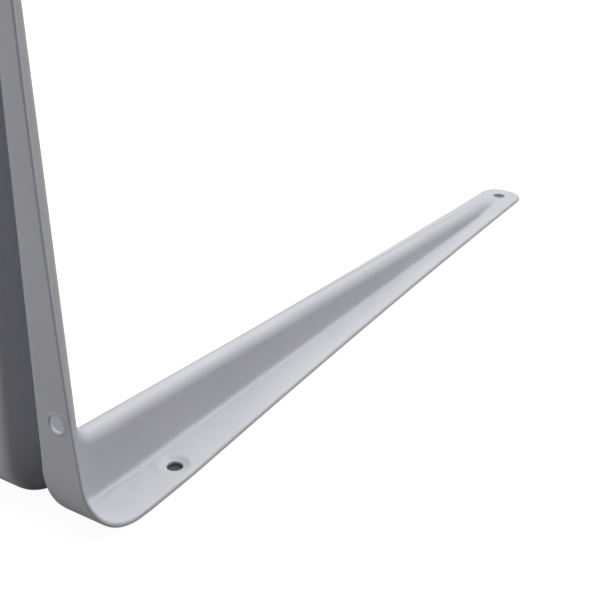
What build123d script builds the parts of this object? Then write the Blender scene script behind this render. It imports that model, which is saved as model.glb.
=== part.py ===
"""Shelf bracket pressed from one steel sheet: two arms at a right angle, stiffened by one hollow rib."""

import os
from math import atan2, cos, pi, sin, sqrt, tan
from typing import NamedTuple

from build123d import *

# Overall sizes, in millimetres
base_reach = 300.0
upright_rise = 250.0
sheet_thickness = 1.5

# Elbow: the flanges bend on their own radius, and the rib's crest turns tighter about the elbow's axis
bend_radius = 20.0
elbow_reach = 24.0
elbow_steps = 8

# Half widths of the blank, from the heel to the tips; it keeps the heel's width up to the heel's height
heel_half_width = 21.9
heel_height = 4.0
base_hole_half_width = 21.2
base_middle_half_width = 14.8
upright_hole_half_width = 17.9
upright_middle_half_width = 11.3
tip_half_width = 8.5
tip_corner_radius = 5.0
outline_blend_radius = 80.0
middle_share = 0.5
blank_half_width = max(heel_half_width, base_hole_half_width) + sheet_thickness

# Screw holes: a dished pair beside the rib on each arm, and a plain one at each tip
hole_radius = 2.3
dish_radius = 3.5
dish_depth = 0.5
base_hole_station = 43.0
base_hole_offset = 14.4
upright_hole_station = 36.0
upright_hole_offset = 13.4
tip_hole_inset = 8.2

# Rib run: it keeps a straight taper, then fades to a point just short of the tip hole
fade_length = 14.0
fade_gap = 1.5


class Rib(NamedTuple):
    """Rib section on the inner face: half widths at foot and crest, height, and the two rounding radii."""

    foot_half_width: float
    crest_half_width: float
    height: float
    foot_radius: float
    crest_radius: float


elbow_rib = Rib(
    foot_half_width=7.1,
    crest_half_width=3.2,
    height=16.85,
    foot_radius=1.8,
    crest_radius=3.4,
)
far_rib = Rib(
    foot_half_width=3.4,
    crest_half_width=1.9,
    height=4.7,
    foot_radius=1.0,
    crest_radius=2.0,
)

# Every arm is built along +X, with Y across it and Z from its outer face inwards
bisector = Axis((0, 0, 0), (1, 0, 1))

# The elbow's sections turn by radians, and the standing arm is flipped over by degrees
elbow_turn = pi / 2
flip_degrees = 180

# Which edges of a cross-section's line are meant: both flanges with the rib, or the rib alone
whole_sheet = slice(None)
rib_only = slice(1, -1)


def across(station):
    """Plane of a cross-section at this distance along an arm."""
    return Plane(origin=(station, 0, 0), x_dir=(0, 1, 0), z_dir=(1, 0, 0))


def sheet_line(rib, depth):
    """Line of the pressed sheet in cross-section, this deep under its inner face."""
    wall_angle = atan2(rib.height, rib.foot_half_width - rib.crest_half_width)
    shift = depth * tan(wall_angle / 2)
    foot = rib.foot_half_width - shift
    crest = rib.crest_half_width - shift
    flange_level = sheet_thickness - depth
    crest_level = flange_level + rib.height
    return FilletPolyline(
        (-blank_half_width, flange_level),
        (-foot, flange_level),
        (-crest, crest_level),
        (crest, crest_level),
        (foot, flange_level),
        (blank_half_width, flange_level),
        radius=(
            rib.foot_radius + depth,
            rib.crest_radius - depth,
            rib.crest_radius - depth,
            rib.foot_radius + depth,
        ),
    )


def sheet_section(rib, plane, span):
    """Cross-section of the sheet in this plane, over its whole width or over the rib alone."""
    inner = sheet_line(rib, 0).edges()[span]
    outer = sheet_line(rib, sheet_thickness).edges()[span]
    first_edge = Line(outer[0] @ 0, inner[0] @ 0)
    last_edge = Line(inner[-1] @ 1, outer[-1] @ 1)
    return plane * make_face([*inner, last_edge, *outer, first_edge])


def elbow_section(turn):
    """Cross-section of the elbow in a plane through its axis, turned this far from the start of the arm."""
    gap = elbow_reach - bend_radius
    lean = min(turn, elbow_turn - turn)
    towards_bend = gap * (sin(lean) + cos(lean))
    distance = towards_bend + sqrt(towards_bend**2 - 2 * gap**2 + bend_radius**2)
    if tan(lean) < gap / elbow_reach:
        distance = elbow_reach / cos(lean)
    rib = elbow_rib._replace(height=elbow_rib.height + distance - elbow_reach)
    foot = (elbow_reach - distance * sin(turn), 0, elbow_reach - distance * cos(turn))
    plane = Plane(origin=foot, x_dir=(0, 1, 0), z_dir=(cos(turn), 0, -sin(turn)))
    return sheet_section(rib, plane, whole_sheet)


def flange_start(rib):
    """Distance from the middle to the line where the rib's rounded foot meets the flat flange."""
    last_rib_edge = sheet_line(rib, 0).edges()[rib_only][-1]
    return (last_rib_edge @ 1).X


def fading_rib(rib, depth, start, end):
    """Solid under the rib's end, this deep under its inner face: it narrows to a point on the flange."""
    raised = sheet_line(rib, depth).edges()[rib_only]
    floor = Line(raised[-1] @ 1, raised[0] @ 0)
    section = across(start) * make_face([*raised, floor])
    point = Vertex(end, 0, sheet_thickness - depth)
    return loft([section, point], ruled=True)


def pressed_arm(reach):
    """Arm from the end of the bend to its tip, before its outline is trimmed."""
    fade_end = reach - tip_hole_inset - hole_radius - fade_gap
    fade_start = fade_end - fade_length
    elbow_end = sheet_section(elbow_rib, across(elbow_reach), rib_only)
    far_end = sheet_section(far_rib, across(fade_start), rib_only)
    flange_outline = Polyline(
        (elbow_reach, flange_start(elbow_rib)),
        (fade_start, flange_start(far_rib)),
        (fade_start, -flange_start(far_rib)),
        (elbow_reach, -flange_start(elbow_rib)),
        (elbow_reach, -blank_half_width),
        (reach, -blank_half_width),
        (reach, blank_half_width),
        (elbow_reach, blank_half_width),
        close=True,
    )
    arm = extrude(make_face(flange_outline.edges()), sheet_thickness)
    arm += fading_rib(far_rib, 0, fade_start, fade_end)
    arm -= fading_rib(far_rib, sheet_thickness, fade_start, fade_end)
    arm += loft([elbow_end, far_end], ruled=True)
    return arm


def outline(start, level_end, reach, hole_station, hole_half_width, middle_half_width):
    """Prism with the arm's outline: level at the heel, then past the holes to a tip with rounded corners."""
    heel = (start, heel_half_width)
    level_corner = (level_end, heel_half_width)
    shoulder = (hole_station, hole_half_width)
    middle = (reach * middle_share, middle_half_width)
    tip = (reach, tip_half_width)
    near_side = Polyline(heel, level_corner, shoulder)
    taper = ThreePointArc(shoulder, middle, tip)
    half = Curve() + [near_side, taper]
    other_half = mirror(half, about=Plane.XZ)
    tip_end = Line(tip, (reach, -tip_half_width))
    heel_end = Line((start, -heel_half_width), (start, heel_half_width))
    face = make_face([*half.edges(), tip_end, *other_half.edges(), heel_end])
    tip_corners = face.vertices().group_by(Axis.X)[-1]
    face = fillet(tip_corners, tip_corner_radius)
    shoulders = [corner for corner in face.vertices() if abs(corner.X - hole_station) < hole_radius]
    face = fillet(shoulders, outline_blend_radius)
    return extrude(face, elbow_reach, both=True)


def with_holes(arm, reach, hole_station, hole_offset):
    """Arm with its dished pair of screw holes and its tip hole."""
    slope = atan2(dish_depth, dish_radius - hole_radius)
    shift = sheet_thickness * tan(slope / 2)
    for side in (-1, 1):
        place = Pos(hole_station, side * hole_offset, 0)
        swell = Cone(hole_radius + shift, dish_radius + shift, dish_depth)
        dish = Cone(hole_radius, dish_radius, dish_depth)
        bore = Cylinder(hole_radius, 2 * elbow_reach)
        arm += place * Pos(0, 0, -dish_depth / 2) * swell
        arm -= place * Pos(0, 0, sheet_thickness - dish_depth / 2) * dish
        arm -= place * bore
    arm -= Pos(reach - tip_hole_inset, 0, 0) * Cylinder(hole_radius, 2 * elbow_reach)
    return arm


def base_arm():
    """Arm that lies on its flat outer face."""
    shape = outline(
        0,
        elbow_reach,
        base_reach,
        base_hole_station,
        base_hole_half_width,
        base_middle_half_width,
    )
    arm = pressed_arm(base_reach) & shape
    return with_holes(arm, base_reach, base_hole_station, base_hole_offset)


def upright_arm():
    """Standing arm with the bend at its foot: the bend follows the same outline down to the heel."""
    turns = [elbow_turn * step / elbow_steps for step in range(elbow_steps + 1)]
    elbow = loft([elbow_section(turn) for turn in turns])
    shape = outline(
        -sheet_thickness,
        heel_height,
        upright_rise,
        upright_hole_station,
        upright_hole_half_width,
        upright_middle_half_width,
    )
    arm = (pressed_arm(upright_rise) + elbow) & shape
    arm = with_holes(arm, upright_rise, upright_hole_station, upright_hole_offset)
    return arm.rotate(bisector, flip_degrees)


bracket = base_arm() + upright_arm()

os.makedirs("parts", exist_ok=True)
export_step(bracket, "parts/bracket.step")
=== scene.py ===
from typing import NamedTuple

import bpy
import numpy as np
from mathutils import Matrix, Vector


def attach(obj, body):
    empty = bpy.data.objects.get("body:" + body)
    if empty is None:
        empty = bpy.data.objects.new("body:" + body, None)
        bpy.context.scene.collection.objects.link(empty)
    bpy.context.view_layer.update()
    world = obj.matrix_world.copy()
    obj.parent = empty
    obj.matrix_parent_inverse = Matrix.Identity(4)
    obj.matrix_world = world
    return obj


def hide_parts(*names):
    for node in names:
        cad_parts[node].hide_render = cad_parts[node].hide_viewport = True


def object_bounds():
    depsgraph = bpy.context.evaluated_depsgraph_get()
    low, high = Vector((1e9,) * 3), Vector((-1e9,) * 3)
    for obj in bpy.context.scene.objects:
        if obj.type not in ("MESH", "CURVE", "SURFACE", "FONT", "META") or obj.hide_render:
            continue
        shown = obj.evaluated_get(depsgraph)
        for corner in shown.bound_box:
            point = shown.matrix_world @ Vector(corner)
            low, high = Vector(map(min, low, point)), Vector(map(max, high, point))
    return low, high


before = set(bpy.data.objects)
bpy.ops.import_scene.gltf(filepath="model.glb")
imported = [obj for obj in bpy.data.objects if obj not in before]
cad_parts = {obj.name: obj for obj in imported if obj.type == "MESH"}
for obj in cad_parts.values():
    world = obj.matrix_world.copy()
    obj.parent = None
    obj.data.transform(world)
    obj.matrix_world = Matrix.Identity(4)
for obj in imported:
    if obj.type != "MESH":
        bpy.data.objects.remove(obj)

cad_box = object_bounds()

quarter_turn = np.pi / 2

# Sizes of the pressed sheet, here and below, are in millimetres
millimetre = 0.001
sheet_thickness = 1.5

# Elbow: the flanges bend on their own radius, and the rib's crest turns tighter about the elbow's axis
bend_radius = 20.0
elbow_reach = 24.0

# Outline: the heel's width up to the heel's height, then past the holes to a round tip
heel_half_width = 21.9
heel_height = 4.0
tip_half_width = 8.5
tip_corner_radius = 7.6
shoulder_blend_radius = 80.0
slope_step = 1.0

# Screw holes: the sheet sinks round those beside the rib, and the one at the tip is plain
hole_radius = 2.3
inner_dish_depth = 0.75
tip_hole_inset = 8.2

# Rib run: a straight taper, then a fade to a point just short of the tip hole
fade_length = 26.0
fade_gap = 1.5
rib_end_width_share = 0.45
widest_foot_share = 0.7

# Roundings that the press and the paint leave on cut edges and hole rims
inner_edge_round = 0.95
outer_edge_round = 0.45
rim_round = 0.45
edge_inset = max(inner_edge_round, outer_edge_round)

# Press marks on the inner face beside the elbow, placed by row along the blank and distance to the side
bump_height = 0.4
bump_row = 6.0
bump_side = 12.8
bump_spread = 2.2
dent_depth = 0.45
dent_row = 13.0
dent_side = 10.2
dent_spread = 1.8
bead_height = 0.5
bead_row = -1.5
bead_side = 9.2
bead_half_length = 5.0
bead_half_width = 1.5

# Grid cells across half the sheet
crest_cells = 1
crest_arc_cells = 7
wall_cells = 4
foot_arc_cells = 6
flange_cells = 20
rib_cells = crest_cells + crest_arc_cells + wall_cells + foot_arc_cells

# Grid cells along the sheet, run by run
bend_cells = 32
shoulder_run_cells = 12
hole_run_cells = 18
plain_cell_length = 4.0
fade_run_cells = 20
tip_run_cells = 11
tip_corner_cells = 12

# Blocks of cells that the tip holes take, the first ring inside them, and cells round edges and rims
tip_block_half_length = 3.8
tip_block_half_width = 4.2
tip_ring_radius = 3.2
block_slack = 0.06
edge_arc_cells = 6
dish_rings = 8
rim_arc_cells = 5


class Rib(NamedTuple):
    """Rib section on the inner face: half widths at foot and crest, height and rounding radii."""

    foot_half_width: float
    crest_half_width: float
    height: float
    foot_radius: float
    crest_radius: float


class Arm(NamedTuple):
    """One arm: its outline, its pair of dished holes and the blocks they take, its rib's far section."""

    reach: float
    level_end: float
    hole_half_width: float
    middle_half_width: float
    hole_station: float
    hole_offset: float
    dish_radius: float
    swell_depth: float
    block_half_length: float
    block_half_width: float
    far_rib: Rib


class Hole(NamedTuple):
    """A screw hole on the flat blank: its middle, the block of cells it takes and its two dishes."""

    row: float
    across: float
    block_half_length: float
    block_half_width: float
    dish_radius: float
    inner_depth: float
    outer_depth: float


elbow_rib = Rib(
    foot_half_width=7.1,
    crest_half_width=3.4,
    height=16.85,
    foot_radius=1.8,
    crest_radius=4.0,
)
base_arm = Arm(
    reach=300.0,
    level_end=elbow_reach,
    hole_half_width=21.2,
    middle_half_width=14.8,
    hole_station=43.0,
    hole_offset=14.4,
    dish_radius=4.9,
    swell_depth=0.48,
    block_half_length=5.3,
    block_half_width=5.5,
    far_rib=Rib(
        foot_half_width=3.8,
        crest_half_width=3.3,
        height=4.0,
        foot_radius=0.9,
        crest_radius=3.6,
    ),
)
upright_arm = Arm(
    reach=250.0,
    level_end=heel_height,
    hole_half_width=17.9,
    middle_half_width=11.3,
    hole_station=36.0,
    hole_offset=13.4,
    dish_radius=3.75,
    swell_depth=0.3,
    block_half_length=4.2,
    block_half_width=3.95,
    far_rib=Rib(
        foot_half_width=3.7,
        crest_half_width=3.0,
        height=5.6,
        foot_radius=0.9,
        crest_radius=3.3,
    ),
)


def rib_half_section(rib):
    """Half of a rib's cross-section from its middle to where its foot meets the flange.

    A flat crest, an arc of the crest radius, a straight wall and an arc of the foot radius, each
    divided evenly. Returns points (across, above the flange) and the inner face's unit normals.
    """
    wall_angle = np.arctan2(rib.height, rib.foot_half_width - rib.crest_half_width)
    crest_end = rib.crest_half_width - rib.crest_radius * np.tan(wall_angle / 2)
    foot_end = rib.foot_half_width + rib.foot_radius * np.tan(wall_angle / 2)
    turn = np.linspace(0, wall_angle, crest_arc_cells + 1)
    turn_back = np.linspace(wall_angle, 0, foot_arc_cells + 1)
    flat_across = np.linspace(0, crest_end, crest_cells + 1)
    crest_flat = np.stack([flat_across, np.full(crest_cells + 1, rib.height)], 1)
    crest_turn = np.stack([np.sin(turn), np.cos(turn) - 1], 1)
    crest_arc = crest_turn * rib.crest_radius + (crest_end, rib.height)
    foot_turn = np.stack([-np.sin(turn_back), 1 - np.cos(turn_back)], 1)
    foot_arc = foot_turn * rib.foot_radius + (foot_end, 0)
    share = np.linspace(0, 1, wall_cells + 1)[:, None]
    wall = crest_arc[-1] * (1 - share) + foot_arc[0] * share
    points = np.concatenate([crest_flat, crest_arc[1:], wall[1:], foot_arc[1:]])
    angles = np.concatenate([
        np.zeros(crest_cells + 1),
        turn[1:],
        np.full(wall_cells, wall_angle),
        turn_back[1:],
    ])
    return points, np.stack([np.sin(angles), np.cos(angles)], 1)


def outline_half_width(station, arm):
    """Half width of an arm's outline at these stations, before its tip corners are rounded.

    The heel's width up to the end of the level run, a straight line to the shoulder beside the hole,
    a parabola that blends over the shoulder, and the circle through the shoulder, the arm's middle
    and its tip.
    """
    shoulder = (arm.hole_station, arm.hole_half_width)
    ends = np.array([shoulder, (arm.reach / 2, arm.middle_half_width), (arm.reach, tip_half_width)])
    steps = ends[1:] - ends[0]
    centre = ends[0] + np.linalg.solve(2 * steps, (steps ** 2).sum(1))
    radius = np.linalg.norm(ends[0] - centre)
    side = np.sign(centre[1] - arm.hole_half_width)
    arc = centre[1] - side * np.sqrt(radius ** 2 - (station - centre[0]) ** 2)
    line_slope = (arm.hole_half_width - heel_half_width) / (arm.hole_station - arm.level_end)
    past_centre = arm.hole_station - centre[0]
    arc_slope = side * past_centre / np.sqrt(radius ** 2 - past_centre ** 2)
    blend_reach = shoulder_blend_radius * abs(line_slope - arc_slope) / 2
    past = station - arm.hole_station
    line = np.minimum(arm.hole_half_width + line_slope * past, heel_half_width)
    blend = line + (arc_slope - line_slope) * (past + blend_reach) ** 2 / (4 * blend_reach)
    return np.where(past < -blend_reach, line, np.where(past < blend_reach, blend, arc))


def fade_span(arm):
    """Stations where the rib starts to fade and where it ends, a gap short of the tip hole's rim."""
    end = arm.reach - tip_hole_inset - hole_radius - fade_gap
    return end - fade_length, end


def even_run(start, end, cells):
    """Stations that divide a run evenly, without its last end."""
    return np.linspace(start, end, cells + 1)[:-1]


def arm_outline(arm):
    """Outline of one arm as stations, half widths and outward normals, from the bend to the tip.

    Stations are close together at the hole, along the rib's fade and round the tip hole. The tip
    corner is an arc that touches the taper's last slope and the straight end.
    """
    fade_start, fade_end = fade_span(arm)
    tip_hole_station = arm.reach - tip_hole_inset
    hole_from = arm.hole_station - arm.block_half_length
    hole_to = arm.hole_station + arm.block_half_length
    plain_cells = int((fade_start - hole_to) / plain_cell_length)
    corner_start = arm.reach - tip_corner_radius
    corner_start_width = outline_half_width(corner_start, arm)
    width_before = outline_half_width(corner_start - slope_step, arm)
    slope = ((corner_start_width - width_before) / slope_step).item()
    first_turn = np.arctan(-slope)
    turn = np.linspace(first_turn, quarter_turn, tip_corner_cells + 1)
    station = np.concatenate([
        even_run(elbow_reach, hole_from, shoulder_run_cells),
        even_run(hole_from, hole_to, hole_run_cells),
        even_run(hole_to, fade_start, plain_cells),
        even_run(fade_start, fade_end, fade_run_cells),
        even_run(tip_hole_station - tip_block_half_length, corner_start, tip_run_cells),
    ])
    width = outline_half_width(station, arm)
    corner_station = corner_start + tip_corner_radius * np.sin(turn)
    corner_middle = corner_start_width - tip_corner_radius / np.cos(first_turn)
    corner_width = corner_middle + tip_corner_radius * np.cos(turn)
    slopes = np.gradient(width, station)
    normal = np.stack([-slopes, np.ones_like(slopes)], 1) / np.sqrt(1 + slopes[:, None] ** 2)
    corner_normal = np.stack([np.sin(turn), np.cos(turn)], 1)
    return (
        np.concatenate([station, corner_station]),
        np.concatenate([width, corner_width]),
        np.concatenate([normal, corner_normal]),
    )


def arm_rib_rows(station, arm):
    """Rib part of each row across an arm: points on the inner face, and on the outer face.

    Up to the fade each section is the straight blend of the elbow's and the far section. In the fade
    it turns evenly into half a cosine wave from the middle to the foot, sinks by a smooth step to
    nothing, and narrows evenly to a share of its width.
    """
    near_points, near_normals = rib_half_section(elbow_rib)
    far_points, far_normals = rib_half_section(arm.far_rib)
    fade_start, fade_end = fade_span(arm)
    share = np.clip((station - elbow_reach) / (fade_start - elbow_reach), 0, 1)[:, None]
    left = np.clip((fade_end - station) / fade_length, 0, 1)[:, None]
    narrowing = rib_end_width_share + (1 - rib_end_width_share) * left
    sinking = left * left * (3 - 2 * left)
    spread = np.linspace(0, 1, rib_cells + 1)
    faces = []
    for depth in (0.0, sheet_thickness):
        near_face = near_points - depth * near_normals + (0, depth)
        far_face = far_points - depth * far_normals + (0, depth)
        straight = near_face * (1 - share[..., None]) + far_face * share[..., None]
        wave_across = far_face[-1, 0] * spread
        wave_above = far_face[0, 1] * (1 + np.cos(np.pi * spread)) / 2
        across = (straight[..., 0] * left + wave_across * (1 - left)) * narrowing
        above = (straight[..., 1] * left + wave_above * (1 - left)) * sinking
        faces.append(np.stack([across, above], -1))
    return faces


def full_rows(rib_rows, inset_width):
    """Rows over the whole width: the flange runs evenly from the rib's foot to the outline's inset.

    Round the tip, past the rib's end, the rib's columns keep to a share of the width that is left.
    """
    share = np.linspace(0, 1, flange_cells + 1)[1:]
    most = widest_foot_share * inset_width[:, None]
    rib_across = rib_rows[..., 0] * np.minimum(1, most / rib_rows[:, -1:, 0])
    foot = rib_across[:, -1:]
    flange = foot + (inset_width[:, None] - foot) * share
    half_across = np.concatenate([rib_across, flange], 1)
    half_above = np.concatenate([rib_rows[..., 1], np.zeros_like(flange)], 1)
    across = np.concatenate([-half_across[:, :0:-1], half_across], 1)
    above = np.concatenate([half_above[:, :0:-1], half_above], 1)
    return across, above


def bend_bulge(angle):
    """How far the bent flange lies outside a circle about the elbow's axis, by the angle round it.

    The distance from the axis to the flange is that to its straight run near both ends of the turn,
    and in between that to the bend's own circle, whose middle lies nearer to the heel.
    """
    gap = elbow_reach - bend_radius
    towards_bend = gap * (np.sin(angle) + np.cos(angle))
    to_circle = towards_bend + np.sqrt(towards_bend ** 2 - 2 * gap ** 2 + bend_radius ** 2)
    to_straight = elbow_reach / np.maximum(np.cos(angle), np.sin(angle))
    lean = np.minimum(angle, quarter_turn - angle)
    return np.where(np.tan(lean) < gap / elbow_reach, to_straight, to_circle) - elbow_reach


def bend_rib_rows(angle):
    """Rib part of each row round the elbow, on the inner and the outer face.

    The section is higher by the bulge, so that its crest stays round.
    """
    ribs = [elbow_rib._replace(height=elbow_rib.height + extra) for extra in bend_bulge(angle)]
    sections = [rib_half_section(rib) for rib in ribs]
    inner = np.stack([points for points, normals in sections])
    depth = sheet_thickness
    outer = np.stack([points - depth * normals + (0, depth) for points, normals in sections])
    return inner, outer


# Outline of the whole blank in one run: standing arm from its tip down, bend, lying arm to its tip
base_station, base_width, base_normal = arm_outline(base_arm)
upright_station, upright_width, upright_normal = arm_outline(upright_arm)
bend_angle = np.linspace(quarter_turn, 0, bend_cells + 1)[1:-1]
bend_height = elbow_reach - (elbow_reach + bend_bulge(bend_angle)) * np.cos(bend_angle)
bend_width = outline_half_width(bend_height, upright_arm)
bend_normal = np.tile((0.0, 1.0), (len(bend_angle), 1))
bend_length = elbow_reach * quarter_turn
upright_rows = slice(0, len(upright_station))
base_rows = slice(len(upright_station) + len(bend_angle), None)


def upright_row(station):
    """Place along the blank of a station on the standing arm, counted back from the bend's start."""
    return -(station - elbow_reach) - bend_length


def base_row(station):
    """Place along the blank of a station on the lying arm, counted on from the bend's end."""
    return station - elbow_reach


along = np.concatenate([
    upright_row(upright_station[::-1]),
    -bend_angle * elbow_reach,
    base_row(base_station),
])
outline_width = np.concatenate([upright_width[::-1], bend_width, base_width])
outline_normal = np.concatenate([upright_normal[::-1] * (-1, 1), bend_normal, base_normal])
row_along = along - edge_inset * outline_normal[:, 0]
row_width = outline_width - edge_inset * outline_normal[:, 1]


def sheet_place(row, across, above):
    """Points in space of developed points: along the bent middle line, across it, above the outer face.

    A run before the bend stands up and a run after it lies down. Between them the line turns about the
    elbow's axis by its length over the elbow's reach, and the outer face lies outside by the bulge.
    """
    angle = np.clip(-row / elbow_reach, 0, quarter_turn)
    before = np.minimum(row + bend_length, 0)
    after = np.maximum(row, 0)
    from_axis = elbow_reach + bend_bulge(angle) - above
    x = elbow_reach - from_axis * np.sin(angle) + after
    z = elbow_reach - from_axis * np.cos(angle) - before
    return np.stack([x, np.broadcast_to(across, x.shape), z], -1)


def rib_rows_of_blank(row):
    """Rib rows of the standing arm, the bend and the lying arm in one run, on each face."""
    upright = arm_rib_rows(-(row[upright_rows] + bend_length) + elbow_reach, upright_arm)
    bend = bend_rib_rows(bend_angle)
    base = arm_rib_rows(row[base_rows] + elbow_reach, base_arm)
    return [np.concatenate(face) for face in zip(upright, bend, base)]


def press_marks(row, across):
    """Height that the press leaves on the inner face beside the elbow.

    A low bump and a dent are bell curves of the distance from their middles. The bead at the rib's
    foot is a bell curve across, times a bell curve along the sheet.
    """
    side = np.abs(across)
    from_bump = (row - bump_row) ** 2 + (side - bump_side) ** 2
    from_dent = (row - dent_row) ** 2 + (side - dent_side) ** 2
    bump = bump_height * np.exp(-from_bump / bump_spread ** 2)
    dent = -dent_depth * np.exp(-from_dent / dent_spread ** 2)
    bead_across = ((side - bead_side) / bead_half_width) ** 2
    bead_along = ((row - bead_row) / bead_half_length) ** 2
    bead = bead_height * np.exp(-bead_across - bead_along)
    return bump + dent + bead


inner_rib, outer_rib = rib_rows_of_blank(row_along)
inner_across, inner_above = full_rows(inner_rib, row_width)
outer_across, outer_above = full_rows(outer_rib, row_width)
inner_above = inner_above + sheet_thickness
row_count, column_count = inner_across.shape
row_grid = np.repeat(row_along[:, None], column_count, 1)
inner_above = inner_above + press_marks(row_grid, inner_across)

point_blocks = []
edge_blocks = []
quad_blocks = []


def add_points(points, at_edge):
    """Adds a grid of points to the mesh, marked where they lie on an edge, and returns their indices."""
    first = sum(len(block) for block in point_blocks)
    grid = points.shape[:2]
    point_blocks.append(points.reshape(-1, 3))
    edge_blocks.append(np.broadcast_to(at_edge, grid).reshape(-1).astype(float))
    return first + np.arange(grid[0] * grid[1]).reshape(grid)


def loop_of(index_block):
    """Border of a block of grid indices, once round, starting along its first column."""
    return np.concatenate([
        index_block[:-1, 0],
        index_block[-1, :-1],
        index_block[:0:-1, -1],
        index_block[0, :0:-1],
    ])


def closed_quads(rings):
    """Quads between neighbouring rows of an index grid whose columns close on themselves."""
    rings = np.concatenate([rings, rings[:, :1]], 1)
    corners = [rings[:-1, :-1], rings[:-1, 1:], rings[1:, 1:], rings[1:, :-1]]
    return np.stack(corners, -1).reshape(-1, 4)


inner_index = add_points(sheet_place(row_grid, inner_across, inner_above), False)
outer_index = add_points(sheet_place(row_grid, outer_across, outer_above), False)
border = loop_of(inner_index)


def edge_band():
    """Points of the rounded cut edge round the whole blank: a profile carried along the outline.

    The profile leaves the inner face in a quarter circle, runs straight down the cut and meets the
    outer face in a smaller quarter circle. It steps outwards along the outline's normal.
    """
    turn = np.linspace(0, quarter_turn, edge_arc_cells + 1)
    first_turn = turn[1:]
    out = np.concatenate([
        edge_inset - inner_edge_round + inner_edge_round * np.sin(first_turn),
        edge_inset - outer_edge_round + outer_edge_round * np.cos(turn),
    ])
    above = np.concatenate([
        sheet_thickness - inner_edge_round * (1 - np.cos(first_turn)),
        outer_edge_round * (1 - np.sin(turn)),
    ])
    step_along = np.zeros((row_count, column_count))
    step_across = np.zeros((row_count, column_count))
    step_along[:, -1] = outline_normal[:, 0]
    step_across[:, -1] = outline_normal[:, 1]
    step_along[:, 0] = outline_normal[:, 0]
    step_across[:, 0] = -outline_normal[:, 1]
    step_along[0, 1:-1] = -1
    step_along[-1, 1:-1] = 1
    flat_row = row_grid.reshape(-1, 1)[border] + step_along.reshape(-1, 1)[border] * out
    flat_across = inner_across.reshape(-1, 1)[border] + step_across.reshape(-1, 1)[border] * out
    return sheet_place(flat_row, flat_across, np.broadcast_to(above, flat_row.shape))


band_index = add_points(edge_band(), True)
inner_border = border[:, None]
outer_border = outer_index.reshape(-1, 1)[border]
band_rings = np.concatenate([inner_border, band_index, outer_border], 1)
quad_blocks.append(closed_quads(band_rings.T)[:, ::-1])

open_cell = np.ones((row_count - 1, column_count - 1), bool)


def hole_patch(hole):
    """Surface round one hole, from a block's border on the inner face to the same border on the outer.

    Rings round the hole's axis keep the angle at which each border point is seen from it. The face
    sinks by a smooth step towards the hole, turns over a quarter circle into the bore, and comes out
    in the same way behind. Returns both borders, the rings' points and which of them lie on the rim.
    """
    rows = np.flatnonzero(np.abs(row_along - hole.row) <= hole.block_half_length + block_slack)
    middle_row = rows[len(rows) // 2]
    columns = np.flatnonzero(np.abs(inner_across[middle_row] - hole.across) <= hole.block_half_width)
    block = np.ix_(np.arange(rows[0], rows[-1] + 1), np.arange(columns[0], columns[-1] + 1))
    open_cell[rows[0]:rows[-1], columns[0]:columns[-1]] = False
    first_loop = loop_of(inner_index[block])
    last_loop = loop_of(outer_index[block])
    seen = np.arctan2(
        inner_across.reshape(-1)[first_loop] - hole.across,
        row_grid.reshape(-1)[first_loop] - hole.row,
    )
    lip = hole_radius + rim_round
    wide = hole.dish_radius
    face_radius = np.linspace(wide, lip, dish_rings)
    share = np.clip((wide - face_radius) / (wide - hole_radius), 0, 1)
    sunk = share * share * (3 - 2 * share)
    inner_sunk = hole.inner_depth * sunk
    outer_sunk = hole.outer_depth * sunk
    turn = np.linspace(0, quarter_turn, rim_arc_cells + 1)[1:]
    radius = np.concatenate([
        face_radius,
        lip - rim_round * np.sin(turn),
        lip - rim_round * np.sin(turn[::-1]),
        face_radius[::-1],
    ])
    lift = np.concatenate([
        -inner_sunk,
        -inner_sunk[-1] - rim_round * (1 - np.cos(turn)),
        -outer_sunk[-1] - sheet_thickness + rim_round * (1 - np.cos(turn[::-1])),
        -outer_sunk[::-1] - sheet_thickness,
    ]) + sheet_thickness
    ring_row = hole.row + radius[:, None] * np.cos(seen)
    ring_across = hole.across + radius[:, None] * np.sin(seen)
    points = sheet_place(ring_row, ring_across, np.broadcast_to(lift[:, None], ring_row.shape))
    at_rim = (radius <= lip)[:, None]
    return first_loop, last_loop, points, at_rim


def hole_pair(arm, row):
    """The two dished holes beside an arm's rib."""
    block = (arm.block_half_length, arm.block_half_width)
    dish = (arm.dish_radius, inner_dish_depth, arm.swell_depth)
    return [Hole(row, side * arm.hole_offset, *block, *dish) for side in (1, -1)]


def tip_hole(row):
    """The plain hole at an arm's tip."""
    return Hole(row, 0.0, tip_block_half_length, tip_block_half_width, tip_ring_radius, 0.0, 0.0)


holes = [
    *hole_pair(base_arm, base_row(base_arm.hole_station)),
    *hole_pair(upright_arm, upright_row(upright_arm.hole_station)),
    tip_hole(base_row(base_arm.reach - tip_hole_inset)),
    tip_hole(upright_row(upright_arm.reach - tip_hole_inset)),
]
for hole in holes:
    first_loop, last_loop, ring_points, at_rim = hole_patch(hole)
    ring_index = add_points(ring_points, at_rim)
    quad_blocks.append(closed_quads(np.concatenate([first_loop[None], ring_index, last_loop[None]])))


def face_quads(index):
    """Quads of one face of the sheet, seen from the inner side, without the holes' blocks of cells."""
    corners = [index[:-1, :-1], index[1:, :-1], index[1:, 1:], index[:-1, 1:]]
    return np.stack(corners, -1)[open_cell]


quad_blocks.append(face_quads(inner_index))
quad_blocks.append(face_quads(outer_index)[:, ::-1])

points = np.concatenate(point_blocks)
quads = np.concatenate(quad_blocks)
used, compact = np.unique(quads, return_inverse=True)


def add_object(name, data):
    """New object in the scene, at the origin, that holds this data."""
    thing = bpy.data.objects.new(name, data)
    bpy.context.scene.collection.objects.link(thing)
    return thing


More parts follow.
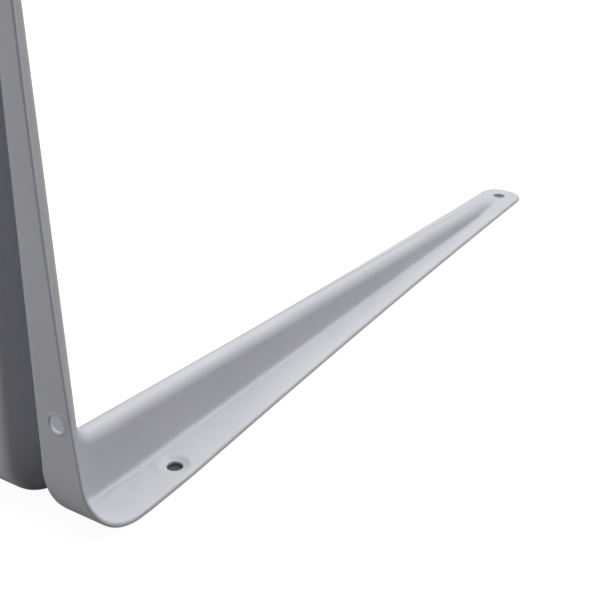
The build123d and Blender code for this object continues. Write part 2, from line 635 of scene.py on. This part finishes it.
sheet_mesh = bpy.data.meshes.new("pressed_sheet")
sheet_mesh.from_pydata((points[used] * millimetre).tolist(), [], compact.reshape(-1, 4).tolist())
sheet_mesh.polygons.foreach_set("use_smooth", np.ones(len(quads), bool))
paint_edge = sheet_mesh.attributes.new("paint_edge", "FLOAT", "POINT")
paint_edge.data.foreach_set("value", np.concatenate(edge_blocks)[used])
sheet_mesh.update()
pressed_sheet = add_object("pressed_sheet", sheet_mesh)


def new_material(name):
    """Material with a node tree."""
    material = bpy.data.materials.new(name)
    material.use_nodes = True
    return material


def noise(tree, place, scale, detail):
    """Noise from 0 to 1 over the coordinates of a place."""
    node = tree.nodes.new("ShaderNodeTexNoise")
    node.inputs["Scale"].default_value = scale
    node.inputs["Detail"].default_value = detail
    tree.links.new(place, node.inputs["Vector"])
    return node.outputs["Fac"]


def ranged(tree, value, low, high, start=0.0, end=1.0):
    """A value that runs from start to end, carried over to a range from low to high."""
    node = tree.nodes.new("ShaderNodeMapRange")
    node.inputs["From Min"].default_value = start
    node.inputs["From Max"].default_value = end
    node.inputs["To Min"].default_value = low
    node.inputs["To Max"].default_value = high
    tree.links.new(value, node.inputs["Value"])
    return node.outputs["Result"]


def bump_node(tree, height, strength, distance):
    """Bump node that raises the surface by a height."""
    node = tree.nodes.new("ShaderNodeBump")
    node.inputs["Strength"].default_value = strength
    node.inputs["Distance"].default_value = distance
    tree.links.new(height, node.inputs["Height"])
    return node


def pale_grey_paint():
    """Pale grey satin powder paint on pressed steel.

    Wide faint clouds and a fine grain vary the colour, paint that has drawn off the cut edges is a
    little lighter, and the gloss follows the orange peel. The normal sums the sheet's slow waves and
    the paint's orange peel.
    """
    material = new_material("pale_grey_paint")
    tree = material.node_tree
    nodes, links = tree.nodes, tree.links
    shader = nodes["Principled BSDF"]
    shader.inputs["Specular IOR Level"].default_value = 0.4
    place = nodes.new("ShaderNodeTexCoord").outputs["Object"]

    tone = nodes.new("ShaderNodeValToRGB")
    tone.color_ramp.elements[0].position = 0.3
    tone.color_ramp.elements[0].color = (0.542, 0.546, 0.586, 1)
    tone.color_ramp.elements[1].position = 0.7
    tone.color_ramp.elements[1].color = (0.574, 0.578, 0.618, 1)
    links.new(noise(tree, place, scale=28.0, detail=3.0), tone.inputs["Fac"])

    grain = noise(tree, place, scale=1900.0, detail=2.0)
    grained = nodes.new("ShaderNodeVectorMath")
    grained.operation = "SCALE"
    links.new(tone.outputs["Color"], grained.inputs["Vector"])
    links.new(ranged(tree, grain, low=0.965, high=1.035), grained.inputs["Scale"])

    edge = nodes.new("ShaderNodeAttribute")
    edge.attribute_name = "paint_edge"
    colour = nodes.new("ShaderNodeMix")
    colour.data_type = "RGBA"
    colour.inputs["B"].default_value = (0.64, 0.645, 0.685, 1)
    links.new(ranged(tree, edge.outputs["Fac"], low=0.0, high=0.15), colour.inputs["Factor"])
    links.new(grained.outputs["Vector"], colour.inputs["A"])
    links.new(colour.outputs["Result"], shader.inputs["Base Color"])

    peel = noise(tree, place, scale=850.0, detail=2.0)
    links.new(ranged(tree, peel, low=0.36, high=0.46), shader.inputs["Roughness"])

    wave = noise(tree, place, scale=75.0, detail=1.0)
    wave_bump = bump_node(tree, wave, strength=0.6, distance=0.0006)
    peel_bump = bump_node(tree, peel, strength=0.15, distance=0.0001)
    links.new(wave_bump.outputs["Normal"], peel_bump.inputs["Normal"])
    links.new(peel_bump.outputs["Normal"], shader.inputs["Normal"])
    return material


pressed_sheet.data.materials.append(pale_grey_paint())
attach(pressed_sheet, "root")
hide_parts("bracket")

# Floor, in metres: wide and plain, just under the dimples of the lying arm
floor_level = cad_box[0][2]
floor_half_size = 6.0
floor_corners = np.array([(-1, -1), (1, -1), (1, 1), (-1, 1)]) * floor_half_size
floor_mesh = bpy.data.meshes.new("floor")
floor_mesh.from_pydata([(x, y, floor_level) for x, y in floor_corners.tolist()], [], [(0, 1, 2, 3)])
floor = add_object("floor", floor_mesh)


def white_paper():
    """Floor paper: nearly self-lit to the camera, more so far out, and dull grey to the light."""
    material = new_material("white_paper")
    tree = material.node_tree
    nodes, links = tree.nodes, tree.links
    nodes.remove(nodes["Principled BSDF"])
    lit = nodes.new("ShaderNodeBsdfDiffuse")
    lit.inputs["Color"].default_value = (0.28, 0.28, 0.28, 1)
    place = nodes.new("ShaderNodeTexCoord")
    distance = nodes.new("ShaderNodeVectorMath")
    distance.operation = "LENGTH"
    links.new(place.outputs["Object"], distance.inputs[0])
    glow = nodes.new("ShaderNodeEmission")
    from_origin = distance.outputs["Value"]
    brighter = ranged(tree, from_origin, low=0.92, high=1.02, start=0.3, end=1.0)
    links.new(brighter, glow.inputs["Strength"])
    seen = nodes.new("ShaderNodeAddShader")
    links.new(lit.outputs["BSDF"], seen.inputs[0])
    links.new(glow.outputs["Emission"], seen.inputs[1])
    path = nodes.new("ShaderNodeLightPath")
    choice = nodes.new("ShaderNodeMixShader")
    links.new(path.outputs["Is Camera Ray"], choice.inputs["Fac"])
    links.new(lit.outputs["BSDF"], choice.inputs[1])
    links.new(seen.outputs["Shader"], choice.inputs[2])
    links.new(choice.outputs["Shader"], nodes["Material Output"].inputs["Surface"])
    return material


floor_mesh.materials.append(white_paper())

# Painted shade: dark dots on the floor under the lying arm's holes stand in for the shade inside them,
# so that the holes look deep
dot_radius = 3.6
dot_lift = 0.02
dot_corner_count = 32
dot_turn = np.linspace(0, 2 * np.pi, dot_corner_count + 1)[:-1]
dot_middles = np.array([
    (base_arm.hole_station, base_arm.hole_offset),
    (base_arm.hole_station, -base_arm.hole_offset),
    (base_arm.reach - tip_hole_inset, 0.0),
])
dot_circle = dot_radius * np.stack([np.cos(dot_turn), np.sin(dot_turn)], 1)
dot_corners = (dot_middles[:, None] + dot_circle).reshape(-1, 2) * millimetre
dot_level = floor_level + dot_lift * millimetre
dot_points = np.concatenate([dot_corners, np.full((len(dot_corners), 1), dot_level)], 1)
dot_faces = np.arange(len(dot_corners)).reshape(len(dot_middles), -1)
dot_mesh = bpy.data.meshes.new("hole_shade_dots")
dot_mesh.from_pydata(dot_points.tolist(), [], dot_faces.tolist())
hole_shade_dots = add_object("hole_shade_dots", dot_mesh)
# Painted shade: near-black matte material of the dots under the holes
painted_hole_shade = new_material("painted_hole_shade")
hole_shade_shader = painted_hole_shade.node_tree.nodes["Principled BSDF"]
hole_shade_shader.inputs["Base Color"].default_value = (0.08, 0.08, 0.085, 1)
hole_shade_shader.inputs["Roughness"].default_value = 1.0
dot_mesh.materials.append(painted_hole_shade)

# Backdrop: white to the camera, and next to no light of its own
world = bpy.data.worlds.new("studio")
bpy.context.scene.world = world
world.use_nodes = True
backdrop = world.node_tree.nodes["Background"]
backdrop.inputs["Color"].default_value = (1.0, 1.0, 1.0, 1)
world_path = world.node_tree.nodes.new("ShaderNodeLightPath")
to_camera = world_path.outputs["Is Camera Ray"]
room_light = ranged(world.node_tree, to_camera, low=0.02, high=1.02)
world.node_tree.links.new(room_light, backdrop.inputs["Strength"])

# Soft studio light, with places and sizes in metres
light_aim = Vector((0.12, 0.0, 0.05))


def soft_box(name, place, size, power):
    """Square soft box at a place, turned towards the bracket."""
    light = bpy.data.lights.new(name, "AREA")
    light.shape = "SQUARE"
    light.size = size
    light.energy = power
    lamp = add_object(name, light)
    lamp.location = place
    lamp.rotation_euler = (light_aim - Vector(place)).to_track_quat("-Z", "Y").to_euler()


soft_box("top_box", place=(0.15, 0.0, 1.2), size=1.2, power=6.0)
soft_box("high_right_box", place=(0.9, -0.1, 1.2), size=0.9, power=9.8)
soft_box("back_right_box", place=(0.9, 0.7, 0.9), size=1.0, power=6.1)
soft_box("front_right_box", place=(0.8, -0.9, 0.7), size=1.0, power=4.8)
soft_box("far_left_box", place=(-1.25, 0.65, 0.5), size=0.7, power=7.5)

bpy.context.scene.view_settings.view_transform = "Standard"

# Camera: its place in metres, and its heading, dip and roll in degrees
camera_place = Vector((-0.1772, -0.1964, 0.1911))
heading, dip, roll = np.radians((32.65, 25.89, 1.05))
forward = np.array([np.cos(dip) * np.cos(heading), np.cos(dip) * np.sin(heading), -np.sin(dip)])
level_right = np.array([np.sin(heading), -np.cos(heading), 0.0])
level_up = np.cross(level_right, forward)
right = np.cos(roll) * level_right + np.sin(roll) * level_up
up = np.cross(right, forward)
lens = bpy.data.cameras.new("camera")
lens.lens = 72.0
lens.sensor_width = 36.0
lens.clip_start = 0.01
camera = add_object("camera", lens)
turn_to_view = Matrix(np.stack([right, up, -forward], 1).tolist()).to_4x4()
camera.matrix_world = Matrix.Translation(camera_place) @ turn_to_view
bpy.context.scene.camera = camera
